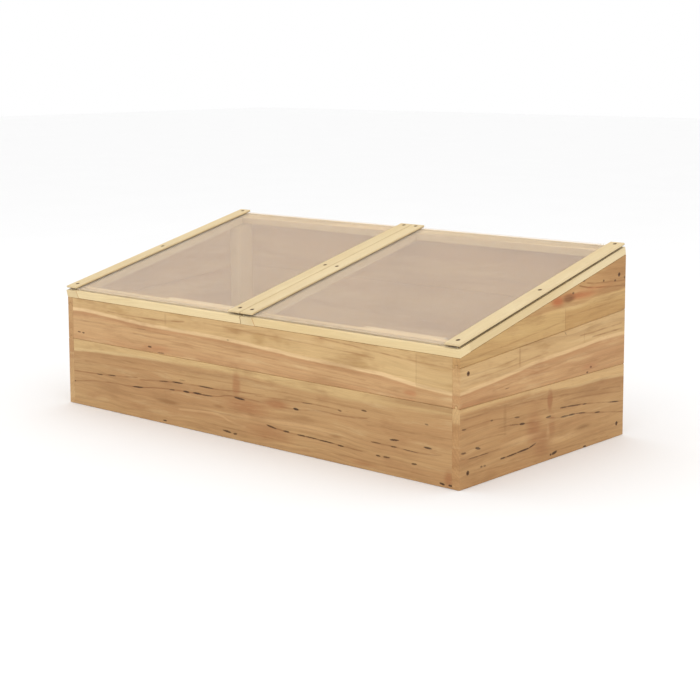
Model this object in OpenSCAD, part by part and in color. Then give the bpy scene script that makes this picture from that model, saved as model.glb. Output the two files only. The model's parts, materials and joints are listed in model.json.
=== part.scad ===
// Wooden cold frame: a sloping box of tongue-and-groove boards on four corner
// posts, with two lids side by side. Each lid is a doweled timber frame under a
// twin-wall sheet that two screwed battens hold down. Each lid turns on two
// butt hinges at the back and carries a swing-down prop behind its front rail.
// Millimetres, +Z up. X runs along the length, -Y is the low front. The origin
// is the middle of the footprint, on the ground.

/* [Body] */
// Length of the box
body_w = 1000; // [800:10:1200]
// Depth of the box, front face to back face
body_d = 500; // [450:10:600]
// Height of the front wall at its outer face
front_h = 217.5; // [205:0.5:230]
// Height of the back wall at its outer face
back_h = 337.5; // [315:0.5:360]
// Thickness of the wall boards
wall_t = 15; // [14:0.5:18]
// Height of the lowest board on every wall
low_board_h = 134; // [110:1:140]
// Height of the slanting seam of the side walls at the front
side_seam_front = 201; // [197:1:201]
// Height of the slanting seam of the side walls at the back
side_seam_back = 236; // [220:1:245]
// Height of the top seam of the back wall
back_seam = 237; // [220:1:245]

/* [Joinery] */
// Width and height of the tongues
tongue = 5; // [3:0.5:5]
// Clearance round a tongue in its groove
tongue_play = 0.2; // [0.1:0.05:0.3]
// Size of the chamfer along each seam
ease = 1.2; // [0.6:0.1:1.5]
// Corner post, across the wall
post_x = 30; // [25:1:34]
// Corner post, along the side wall
post_y = 40; // [35:1:45]

/* [Lids] */
// Width of the lid rails, stiles and battens
rail_w = 30; // [28:1:34]
// Thickness of the lid rails and stiles
rail_t = 15; // [14:0.5:18]
// Gap between the two lids
lid_split = 1; // [0.6:0.1:2]
// Gap between the lids and the wall tops
lid_gap = 0.3; // [0.2:0.1:0.6]
// How far the sloping shoulder of the front corner joint runs
shoulder = 4; // [2:0.5:6]
// Thickness of the battens
batten_t = 4; // [4:0.5:6]
// How far the battens stop short of the lid's front edge
batten_back = 3; // [1:0.5:5]

/* [Glazing] */
// Thickness of the twin-wall sheet
sheet_t = 4; // [4:0.5:6]
// Distance between the webs inside the sheet
flute = 6; // [5:0.5:10]
// Thickness of the sheet's skins and webs
skin = 0.5; // [0.4:0.05:0.6]
// How far the sheet stops short of the lid's sides
sheet_side = 6; // [4:1:9]
// How far the sheet stops short of the lid's front and back
sheet_end = 5; // [4:1:9]

/* [Hinges] */
// Length of one hinge
hinge_len = 50; // [40:1:60]
// Distance of each hinge's centre from the lid's side
hinge_in = 90; // [60:5:150]
// Thickness of the hinge leaves
leaf_t = 1.5; // [1.2:0.1:1.6]
// Radius of the hinge pins
pin_r = 1.5; // [1.2:0.1:1.6]
// Radial clearance of the pins in their knuckles
pin_play = 0.06; // [0.02:0.01:0.1]

/* [Props] */
// Length of a prop from its pivot to its foot
prop_len = 173; // [150:1:180]
// Depth of a prop stick across its broad face
prop_h = 12; // [10:1:13]
// Thickness of a prop stick
prop_t = 10; // [8:1:14]

/* [Hidden] */

board_col = "burlywood";
lid_col = "wheat";
steel_col = "silver";
screw_col = "dimgray";
sheet_col = [0.86, 0.84, 0.80, 0.5];

slope = atan((back_h - front_h) / body_d);
lid_len = body_d / cos(slope);
lid_w = (body_w - lid_split) / 2;
fy = -body_d / 2;               // outer face of the front wall
by = body_d / 2;                // outer face of the back wall
lid_x = [-body_w / 2, lid_split / 2];   // left edge of each lid
eps = 1;
fit = 0.05;                     // radial clearance of a fastener in its hole

// height of the wall tops at a given y
function top_z(y) = front_h + (y - fy) * tan(slope);
// height of the slanting side seam at a given y
function seam_z(y) = side_seam_front + (side_seam_back - side_seam_front) * (y - fy) / body_d;

// fasteners -----------------------------------------------------------------

// Countersunk cross-head screw, head face at z = 0, pointing down.
module screw(head_r, r, len) {
    difference() {
        union() {
            translate([0, 0, -head_r + r]) cylinder(h = head_r - r, r1 = r, r2 = head_r, $fn = 48);
            translate([0, 0, -len + 2 * r]) cylinder(h = len - 2 * r - head_r + r, r = r, $fn = 48);
            translate([0, 0, -len]) cylinder(h = 2 * r, r1 = 0.3 * r, r2 = r, $fn = 48);
        }
        for (a = [0, 90]) rotate([0, 0, a]) translate([-head_r * 0.6, -head_r * 0.13, -head_r * 0.35])
            cube([head_r * 1.2, head_r * 0.26, head_r]);
    }
}

// The hole that screw() sits in; sink is how deep the head lies below the face.
module screw_hole(head_r, r, len, sink = 0.3) {
    translate([0, 0, -head_r + r]) cylinder(h = head_r - r, r1 = r + fit, r2 = head_r + fit, $fn = 48);
    cylinder(h = sink + eps, r = head_r + fit, $fn = 48);
    translate([0, 0, -len - 0.5]) cylinder(h = len + 0.5 - (head_r - r) + 0.01, r = r + fit, $fn = 48);
}

// boards --------------------------------------------------------------------

// Extrudes a (Y, Z) outline along X from x0 to x1.
module along_x(x0, x1) translate([x0, 0, 0]) rotate([90, 0, 90]) linear_extrude(x1 - x0) children();

// A 45 degree cutter that chamfers the seam from a to b on the face x = xf.
module seam_cut_side(xf, a, b) {
    ang = atan2(b[1] - a[1], b[0] - a[0]);
    len = norm(b - a) + 4;
    translate([xf, (a[0] + b[0]) / 2, (a[1] + b[1]) / 2]) rotate([ang, 0, 0]) rotate([0, 45, 0])
        cube([ease * sqrt(2), len, ease * sqrt(2)], center = true);
}
// The same along X, on the face y = yf at height z.
module seam_cut_x(yf, z) translate([0, yf, z]) rotate([45, 0, 0])
    cube([body_w, ease * sqrt(2), ease * sqrt(2)], center = true);
// Centre of a wall's thickness, for its tongue.
fmid = fy + wall_t / 2;
bmid = by - wall_t / 2;
wall_x = body_w / 2 - wall_t;   // half length of the front and back boards
tg = tongue / 2;                // half width of a tongue
gr = tg + tongue_play;          // half width of a groove

// One front or back board between two heights. z1 a number for a level top
// edge with a tongue, or undef for the bevelled top edge.
module cross_board(yo, mid, z0, z1, groove) {
    ya = min(yo, yo > 0 ? yo - wall_t : yo + wall_t);
    yb = ya + wall_t;
    top = is_undef(z1);
    difference() {
        union() {
            along_x(-wall_x, wall_x)
                polygon(top ? [[ya, z0], [yb, z0], [yb, top_z(yb)], [ya, top_z(ya)]]
                            : [[ya, z0], [yb, z0], [yb, z1], [mid + tg, z1], [mid + tg, z1 + tongue],
                               [mid - tg, z1 + tongue], [mid - tg, z1], [ya, z1]]);
        }
        if (groove) along_x(-wall_x - eps, wall_x + eps)
            polygon([[mid - gr, z0 - eps], [mid + gr, z0 - eps], [mid + gr, z0 + tongue + 0.5], [mid - gr, z0 + tongue + 0.5]]);
        for (yf = [ya, yb]) {
            if (groove) seam_cut_x(yf, z0);
            if (!top) seam_cut_x(yf, z1);
        }
    }
}

// Panel screws go in from inside the box, through the posts into the boards.
panel_x = body_w / 2 - wall_t - post_x / 2;
front_panel_z = [65, 165];
back_panel_z = [65, 180, 270];
panel_len = post_y + 9;
module at_front_panel(z) for (s = [-1, 1]) translate([s * panel_x, fy + wall_t + post_y - 0.3, z]) rotate([-90, 0, 0]) children();
module at_back_panel(z) for (s = [-1, 1]) translate([s * panel_x, by - wall_t - post_y + 0.3, z]) rotate([90, 0, 0]) children();

module front_lower_board() color(board_col) difference() {
    cross_board(fy, fmid, 0, low_board_h, false);
    at_front_panel(front_panel_z[0]) screw_hole(4, 2, panel_len);
}
module front_upper_board() color(board_col) difference() {
    cross_board(fy, fmid, low_board_h, undef, true);
    at_front_panel(front_panel_z[1]) screw_hole(4, 2, panel_len);
}
module back_lower_board() color(board_col) difference() {
    cross_board(by, bmid, 0, low_board_h, false);
    at_back_panel(back_panel_z[0]) screw_hole(4, 2, panel_len);
}
module back_middle_board() color(board_col) difference() {
    cross_board(by, bmid, low_board_h, back_seam, true);
    at_back_panel(back_panel_z[1]) screw_hole(4, 2, panel_len);
}
module back_upper_board() color(board_col) difference() {
    cross_board(by, bmid, back_seam, undef, true);
    at_back_panel(back_panel_z[2]) screw_hole(4, 2, panel_len);
    at_wall_leaf_screws() screw_hole(3, 1.5, 12);
}

// Side wall screws: from outside, through the boards into the posts.
side_in = 22.5;
side_screws = [[fy + side_in, 25], [fy + side_in, 190], [by - side_in, 25], [by - side_in, 303]];
side_len = wall_t + post_x - 4;
module at_side_screws(i) translate([body_w / 2 - 0.3, side_screws[i][0], side_screws[i][1]]) rotate([0, 90, 0]) children();

// Side boards, drawn for the right wall and mirrored for the left.
xo = body_w / 2;
xi = body_w / 2 - wall_t;
xm = (xo + xi) / 2;
// A tongue or groove band, w half wide and t deep, standing on the line through za at fy and zb at by.
module side_band(w, za, zb, t, over) along_x(xm - w, xm + w)
    let(k = over * (zb - za) / body_d)
    polygon([[fy - over, za - k], [by + over, zb + k], [by + over, zb + k + t], [fy - over, za - k + t]]);

module side_lower() difference() {
    union() {
        along_x(xi, xo) polygon([[fy, 0], [by, 0], [by, low_board_h], [fy, low_board_h]]);
        side_band(tg, low_board_h - 0.5, low_board_h - 0.5, tongue + 0.5, 0);
    }
    for (xf = [xi, xo]) seam_cut_side(xf, [fy, low_board_h], [by, low_board_h]);
    at_side_screws(0) screw_hole(4, 2, side_len);
    at_side_screws(2) screw_hole(4, 2, side_len);
}
// A bar that lies along the slanting seam, drawn by its (x, height above the seam) outline.
module seam_bar(outline) translate([0, fy, seam_z(fy)]) rotate([atan((side_seam_back - side_seam_front) / body_d), 0, 0])
    translate([0, body_d + 40, 0]) rotate([90, 0, 0]) linear_extrude(body_d + 80) polygon(outline);
module side_middle() difference() {
    intersection() {
        along_x(xi - eps, xo + eps) polygon([[fy, low_board_h], [by, low_board_h], [by, back_h], [fy, back_h]]);
        seam_bar([[xi, -low_board_h], [xo, -low_board_h], [xo, -ease], [xo - ease, 0], [xm + tg, 0], [xm + tg, tongue],
                  [xm - tg, tongue], [xm - tg, 0], [xi + ease, 0], [xi, -ease]]);
    }
    side_band(gr, low_board_h - eps, low_board_h - eps, tongue + 0.5 + eps, eps);
    for (xf = [xi, xo]) seam_cut_side(xf, [fy, low_board_h], [by, low_board_h]);
    at_side_screws(1) screw_hole(4, 2, side_len);
}
module side_upper() difference() {
    intersection() {
        along_x(xi - eps, xo + eps) polygon([[fy, 0], [by, 0], [by, back_h], [fy, front_h]]);
        seam_bar([[xi, ease], [xi + ease, 0], [xm - gr, 0], [xm - gr, tongue + 0.5], [xm + gr, tongue + 0.5], [xm + gr, 0],
                  [xo - ease, 0], [xo, ease], [xo, back_h], [xi, back_h]]);
    }
    at_side_screws(3) screw_hole(4, 2, side_len);
}
module right_lower_board() color(board_col) side_lower();
module right_middle_board() color(board_col) side_middle();
module right_upper_board() color(board_col) side_upper();
module left_lower_board() color(board_col) mirror([1, 0, 0]) side_lower();
module left_middle_board() color(board_col) mirror([1, 0, 0]) side_middle();
module left_upper_board() color(board_col) mirror([1, 0, 0]) side_upper();

// Corner posts stand inside the corners, their broad face on the side wall.
module front_post() difference() {
    along_x(xi - post_x, xi) polygon([[fy + wall_t, 0], [fy + wall_t + post_y, 0],
        [fy + wall_t + post_y, top_z(fy + wall_t + post_y) - 2], [fy + wall_t, top_z(fy + wall_t) - 2]]);
    for (i = [0, 1]) at_side_screws(i) screw_hole(4, 2, side_len);
    for (z = front_panel_z) at_front_panel(z) screw_hole(4, 2, panel_len);
}
module back_post() difference() {
    along_x(xi - post_x, xi) polygon([[by - wall_t - post_y, 0], [by - wall_t, 0],
        [by - wall_t, top_z(by - wall_t) - 2], [by - wall_t - post_y, top_z(by - wall_t - post_y) - 2]]);
    for (i = [2, 3]) at_side_screws(i) screw_hole(4, 2, side_len);
    for (z = back_panel_z) at_back_panel(z) screw_hole(4, 2, panel_len);
}
module front_right_post() color(lid_col) front_post();
module back_right_post() color(lid_col) back_post();
module front_left_post() color(lid_col) mirror([1, 0, 0]) front_post();
module back_left_post() color(lid_col) mirror([1, 0, 0]) back_post();

module right_wall_screws() color(screw_col) for (i = [0 : 3]) at_side_screws(i) screw(4, 2, side_len);
module left_wall_screws() color(screw_col) mirror([1, 0, 0]) for (i = [0 : 3]) at_side_screws(i) screw(4, 2, side_len);
module front_panel_screws() color(screw_col) for (z = front_panel_z) at_front_panel(z) screw(4, 2, panel_len);
module back_panel_screws() color(screw_col) for (z = back_panel_z) at_back_panel(z) screw(4, 2, panel_len);

// hinges --------------------------------------------------------------------

knuckle_r = pin_r + leaf_t;
hy = by + knuckle_r + 0.3;      // hinge pin axis
hz = back_h + 0.1;
knuckles = 5;
kgap = 0.4;
klen = (hinge_len - (knuckles - 1) * kgap) / knuckles;
leaf_h = 12.5;
wall_leaf_z = hz - 8.6;         // height of the wall leaf's screws
lid_leaf_h = 8;                 // height of the lid leaf's screws in the lid's own frame
leaf_screw_x = [-16, 16];
function kx(i) = -hinge_len / 2 + i * (klen + kgap);
function hinge_x(side) = [lid_x[side] + hinge_in, lid_x[side] + lid_w - hinge_in];

module knuckle(i) translate([kx(i), hy, hz]) rotate([0, 90, 0]) difference() {
    cylinder(h = klen, r = knuckle_r, $fn = 64);
    translate([0, 0, -eps]) cylinder(h = klen + 2 * eps, r = pin_r + pin_play, $fn = 64);
}
module pin_bore() translate([-hinge_len / 2 - eps, hy, hz]) rotate([0, 90, 0])
    cylinder(h = hinge_len + 2 * eps, r = pin_r + pin_play, $fn = 64);

// Wall leaf: carries knuckles 0, 2 and 4.
module wall_leaf() difference() {
    union() {
        translate([-hinge_len / 2, by, hz - leaf_h - 1]) cube([hinge_len, leaf_t, leaf_h + 1 - 3.3]);
        for (i = [0, 2, 4]) {
            translate([kx(i), by, hz - 4]) cube([klen, leaf_t, 4]);
            knuckle(i);
        }
    }
    pin_bore();
    for (x = leaf_screw_x) translate([x, by + leaf_t, wall_leaf_z]) rotate([-90, 0, 0]) screw_hole(3, 1.5, 12, 0);
}
// Lid leaf, drawn closed: carries knuckles 1 and 3. The plate is cut as one comb, its tabs a little narrower than the knuckles.
module lid_leaf() difference() {
    union() {
        in_lid_frame() translate([0, lid_len + leaf_t, 0]) rotate([90, 0, 0]) linear_extrude(leaf_t)
            polygon([[-hinge_len / 2, 2.6], [kx(1) + 0.3, 2.6], [kx(1) + 0.3, 0], [kx(1) + klen - 0.3, 0], [kx(1) + klen - 0.3, 2.6],
                     [kx(3) + 0.3, 2.6], [kx(3) + 0.3, 0], [kx(3) + klen - 0.3, 0], [kx(3) + klen - 0.3, 2.6], [hinge_len / 2, 2.6],
                     [hinge_len / 2, leaf_h], [-hinge_len / 2, leaf_h]]);
        for (i = [1, 3]) knuckle(i);
    }
    pin_bore();
    in_lid_frame() for (x = leaf_screw_x) translate([x, lid_len + leaf_t, lid_leaf_h]) rotate([-90, 0, 0]) screw_hole(3, 1.5, 14, 0);
}
module hinge_pin() translate([-hinge_len / 2 - 1.2, hy, hz]) rotate([0, 90, 0]) {
    cylinder(h = hinge_len + 2.4, r = pin_r, $fn = 64);
    cylinder(h = 1, r = pin_r + 0.8, $fn = 64);
    translate([0, 0, hinge_len + 1.4]) cylinder(h = 1, r = pin_r + 0.8, $fn = 64);
}
module at_hinges(side) for (x = hinge_x(side)) translate([x, 0, 0]) children();
module at_wall_leaf_screws() for (side = [0, 1]) at_hinges(side) for (x = leaf_screw_x)
    translate([x, by + leaf_t, wall_leaf_z]) rotate([-90, 0, 0]) children();

module left_hinge_wall_leaves() color(steel_col) at_hinges(0) wall_leaf();
module right_hinge_wall_leaves() color(steel_col) at_hinges(1) wall_leaf();
module left_hinge_pins() color(steel_col) at_hinges(0) hinge_pin();
module right_hinge_pins() color(steel_col) at_hinges(1) hinge_pin();
module hinge_wall_screws() color(steel_col) at_wall_leaf_screws() screw(3, 1.5, 12);

// lids ----------------------------------------------------------------------

// Lid coordinates: x across, y up the slope from the front edge, z out of the
// lid's face. z = 0 is the underside of the lid's frame.
module in_lid_frame() translate([0, fy, front_h]) rotate([slope, 0, 0]) translate([0, 0, lid_gap]) children();
module in_lid(side) in_lid_frame() translate([lid_x[side], 0, 0]) children();

lid_ease = 0.8;
// A rectangle w by t with all four corners eased.
module eased(w, t, c = lid_ease) polygon([[c, 0], [w - c, 0], [w, c], [w, t - c], [w - c, t], [c, t], [0, t - c], [0, c]]);
// Extrudes an (x, z) outline up the slope from y0 to y1.
module up_slope(y0, y1) translate([0, y1, 0]) rotate([90, 0, 0]) linear_extrude(y1 - y0) children();
// Extrudes a (y, z) outline across the lid from x0 to x1.
module across(x0, x1) translate([x0, 0, 0]) rotate([90, 0, 90]) linear_extrude(x1 - x0) children();

dowel_r = 3;
dowel_half = 20;
// Dowels lie across each corner joint. The frame turns like a pinwheel: each
// piece butts at one end and runs through at the other.
module dowels(extra) {
    zc = rail_t / 2;
    h = 2 * dowel_half + 2 * extra;
    translate([rail_w + shoulder / 2 - h / 2, rail_w / 2 - 4, zc]) rotate([0, 90, 0]) cylinder(h = h, r = dowel_r + (extra > 0 ? fit : 0), $fn = 48);
    translate([lid_w - rail_w / 2 - 7, rail_w - h / 2 + 5, zc]) rotate([-90, 0, 0]) cylinder(h = h, r = dowel_r + (extra > 0 ? fit : 0), $fn = 48);
    translate([lid_w - rail_w - h / 2, lid_len - rail_w / 2 - 4, zc]) rotate([0, 90, 0]) cylinder(h = h, r = dowel_r + (extra > 0 ? fit : 0), $fn = 48);
    translate([rail_w / 2, lid_len - rail_w - h / 2 - 5, zc]) rotate([-90, 0, 0]) cylinder(h = h, r = dowel_r + (extra > 0 ? fit : 0), $fn = 48);
}

batten_x = [0, lid_w - rail_w];
batten_screw_x = [rail_w / 2, lid_w - rail_w / 2];
batten_screw_y = [20, lid_len / 2, lid_len - 10];
batten_top = rail_t + sheet_t + batten_t;
batten_len = batten_t + sheet_t + 9.5;
module at_batten_screws(xs) for (x = xs, y = batten_screw_y) translate([x, y, batten_top - 0.4]) children();
module batten_holes() at_batten_screws(batten_screw_x) screw_hole(4, 2, batten_len, 0.4);

prop_x = lid_w - 60;            // pivot, measured across the lid
prop_z = rail_t / 2;
prop_play = 0.4;
prop_y = rail_w + prop_play;    // near face of the stick
pivot_len = prop_t + 20;
washer_t = 1;
module pivot_hole(r, y0, y1) translate([prop_x, y0, prop_z]) rotate([-90, 0, 0]) cylinder(h = y1 - y0, r = r, $fn = 64);

module front_rail() difference() {
    across(rail_w, lid_w) eased(rail_w, rail_t);
    // sloping shoulder against the outer stile
    up_slope(-eps, rail_w + eps) polygon([[rail_w - eps, -eps], [rail_w + 1 + shoulder, -eps], [rail_w + 1 + shoulder, 0],
        [rail_w + 1, rail_t], [rail_w + 1, rail_t + eps], [rail_w - eps, rail_t + eps]]);
    dowels(0.5);
    batten_holes();
    pivot_hole(2 + fit, rail_w - 19.5, rail_w + eps);
}
module back_rail() difference() {
    translate([0, lid_len - rail_w, 0]) across(0, lid_w - rail_w) eased(rail_w, rail_t);
    dowels(0.5);
    batten_holes();
    for (hx = [hinge_in, lid_w - hinge_in], x = leaf_screw_x)
        translate([hx + x, lid_len + leaf_t, lid_leaf_h]) rotate([-90, 0, 0]) screw_hole(3, 1.5, 14, 0);
}
// Stile on the lid's left: runs through at the front.
module stile_a() difference() {
    union() {
        up_slope(0, lid_len - rail_w) eased(rail_w, rail_t);
        up_slope(0, rail_w) polygon([[rail_w - 2, 0], [rail_w + 1 + shoulder, 0], [rail_w + 1, rail_t], [rail_w - 2, rail_t]]);
    }
    dowels(0.5);
    batten_holes();
}
// Stile on the lid's right: runs through at the back.
module stile_b() difference() {
    translate([lid_w - rail_w, 0, 0]) up_slope(rail_w, lid_len) eased(rail_w, rail_t);
    dowels(0.5);
    batten_holes();
}
module lid_dowels() dowels(0);

sheet_w = lid_w - 2 * sheet_side;
n_flutes = floor((sheet_w - 2 * skin) / flute);
flute_x0 = (sheet_w - n_flutes * flute) / 2;
module sheet() difference() {
    up_slope(sheet_end, lid_len - sheet_end) difference() {
        translate([sheet_side, rail_t]) square([sheet_w, sheet_t]);
        for (i = [0 : n_flutes - 1]) translate([sheet_side + flute_x0 + i * flute + skin / 2, rail_t + skin])
            square([flute - skin, sheet_t - 2 * skin]);
    }
    at_batten_screws(batten_screw_x) translate([0, 0, -batten_len]) cylinder(h = batten_len + eps, r = 2.4, $fn = 48);
}
module batten(i) difference() {
    translate([batten_x[i], 0, rail_t + sheet_t]) up_slope(batten_back, lid_len - 1)
        polygon([[0, 0], [rail_w, 0], [rail_w, batten_t - 0.7], [rail_w - 0.7, batten_t], [0.7, batten_t], [0, batten_t - 0.7]]);
    batten_holes();
}
module batten_screws() at_batten_screws(batten_screw_x) screw(4, 2, batten_len);
module lid_leaf_screws() for (hx = [hinge_in, lid_w - hinge_in], x = leaf_screw_x)
    translate([hx + x, lid_len + leaf_t, lid_leaf_h]) rotate([-90, 0, 0]) screw(3, 1.5, 14);

module prop_stick() difference() {
    translate([0, prop_y + prop_t, 0]) rotate([90, 0, 0]) linear_extrude(prop_t) let(h = prop_h / 2, c = 3.5, l = prop_len)
        polygon([[prop_x - l + c, prop_z - h], [prop_x + h - c, prop_z - h], [prop_x + h, prop_z - h + c], [prop_x + h, prop_z + h - c],
                 [prop_x + h - c, prop_z + h], [prop_x - l + c, prop_z + h], [prop_x - l, prop_z + h - c], [prop_x - l, prop_z - h + c]]);
    pivot_hole(2.06, prop_y - eps, prop_y + prop_t + eps);
}
module pivot_screw() difference() {
    union() {
        pivot_hole(2, rail_w - 19, prop_y + prop_t + washer_t + 0.3);
        pivot_hole(4, prop_y + prop_t + washer_t + 0.3, prop_y + prop_t + washer_t + 2.7);
    }
    for (a = [0, 90]) translate([prop_x, prop_y + prop_t + washer_t + 2.7, prop_z]) rotate([0, a, 0]) cube([5, 3, 1.1], center = true);
}
module washer() difference() {
    pivot_hole(5.5, prop_y + prop_t + 0.2, prop_y + prop_t + 0.2 + washer_t);
    pivot_hole(2.1, prop_y + prop_t - eps, prop_y + prop_t + washer_t + eps);
}

module left_lid_front_rail() color(lid_col) in_lid(0) front_rail();
module left_lid_back_rail() color(lid_col) in_lid(0) back_rail();
module left_lid_outer_stile() color(lid_col) in_lid(0) stile_a();
module left_lid_inner_stile() color(lid_col) in_lid(0) stile_b();
module left_lid_dowels() color(lid_col) in_lid(0) lid_dowels();
module left_lid_sheet() color(sheet_col) in_lid(0) sheet();
module left_lid_outer_batten() color(lid_col) in_lid(0) batten(0);
module left_lid_inner_batten() color(lid_col) in_lid(0) batten(1);
module left_lid_batten_screws() color(screw_col) in_lid(0) batten_screws();
module left_lid_hinge_leaves() color(steel_col) at_hinges(0) lid_leaf();
module left_lid_hinge_screws() color(steel_col) in_lid(0) lid_leaf_screws();
module left_prop_pivot_screw() color(steel_col) in_lid(0) pivot_screw();
module left_prop_washer() color(steel_col) in_lid(0) washer();
module left_prop_stick() color(lid_col) in_lid(0) prop_stick();

module right_lid_front_rail() color(lid_col) in_lid(1) front_rail();
module right_lid_back_rail() color(lid_col) in_lid(1) back_rail();
module right_lid_inner_stile() color(lid_col) in_lid(1) stile_a();
module right_lid_outer_stile() color(lid_col) in_lid(1) stile_b();
module right_lid_dowels() color(lid_col) in_lid(1) lid_dowels();
module right_lid_sheet() color(sheet_col) in_lid(1) sheet();
module right_lid_inner_batten() color(lid_col) in_lid(1) batten(0);
module right_lid_outer_batten() color(lid_col) in_lid(1) batten(1);
module right_lid_batten_screws() color(screw_col) in_lid(1) batten_screws();
module right_lid_hinge_leaves() color(steel_col) at_hinges(1) lid_leaf();
module right_lid_hinge_screws() color(steel_col) in_lid(1) lid_leaf_screws();
module right_prop_pivot_screw() color(steel_col) in_lid(1) pivot_screw();
module right_prop_washer() color(steel_col) in_lid(1) washer();
module right_prop_stick() color(lid_col) in_lid(1) prop_stick();

front_lower_board();
front_upper_board();
back_lower_board();
back_middle_board();
back_upper_board();
left_lower_board();
left_middle_board();
left_upper_board();
right_lower_board();
right_middle_board();
right_upper_board();
front_left_post();
front_right_post();
back_left_post();
back_right_post();
left_wall_screws();
right_wall_screws();
front_panel_screws();
back_panel_screws();
left_hinge_wall_leaves();
right_hinge_wall_leaves();
left_hinge_pins();
right_hinge_pins();
hinge_wall_screws();
left_lid_front_rail();
left_lid_back_rail();
left_lid_outer_stile();
left_lid_inner_stile();
left_lid_dowels();
left_lid_sheet();
left_lid_outer_batten();
left_lid_inner_batten();
left_lid_batten_screws();
left_lid_hinge_leaves();
left_lid_hinge_screws();
left_prop_pivot_screw();
left_prop_washer();
left_prop_stick();
right_lid_front_rail();
right_lid_back_rail();
right_lid_inner_stile();
right_lid_outer_stile();
right_lid_dowels();
right_lid_sheet();
right_lid_inner_batten();
right_lid_outer_batten();
right_lid_batten_screws();
right_lid_hinge_leaves();
right_lid_hinge_screws();
right_prop_pivot_screw();
right_prop_washer();
right_prop_stick();
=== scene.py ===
import json
import math
import bpy
import bmesh
from mathutils import Matrix, Vector


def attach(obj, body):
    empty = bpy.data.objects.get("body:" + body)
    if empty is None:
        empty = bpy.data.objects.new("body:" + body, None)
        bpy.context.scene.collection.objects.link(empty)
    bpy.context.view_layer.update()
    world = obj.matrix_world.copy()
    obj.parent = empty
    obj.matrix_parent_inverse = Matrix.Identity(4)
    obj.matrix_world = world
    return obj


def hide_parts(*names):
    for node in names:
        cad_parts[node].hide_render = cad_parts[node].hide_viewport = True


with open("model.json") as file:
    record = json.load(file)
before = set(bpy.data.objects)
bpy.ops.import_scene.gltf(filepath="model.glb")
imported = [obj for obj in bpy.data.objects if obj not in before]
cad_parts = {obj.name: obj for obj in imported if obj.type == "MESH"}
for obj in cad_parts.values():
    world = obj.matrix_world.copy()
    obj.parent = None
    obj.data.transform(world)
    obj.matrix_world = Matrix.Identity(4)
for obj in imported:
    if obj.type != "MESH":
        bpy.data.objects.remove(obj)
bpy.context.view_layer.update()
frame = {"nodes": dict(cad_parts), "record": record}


NODES = frame["nodes"]
SLOT = {s["node"]: s["material_slot"] for s in frame["record"]["subparts"]}
BODY = {}
for body, members in frame["record"]["behaviour"]["bodies"].items():
    for m in members:
        BODY[m] = body

SLOPE = math.atan2(0.120, 0.500)
FRONT = Vector((0.0, -0.250, 0.2175))      # the line where the lids meet the front wall's outer face


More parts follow.
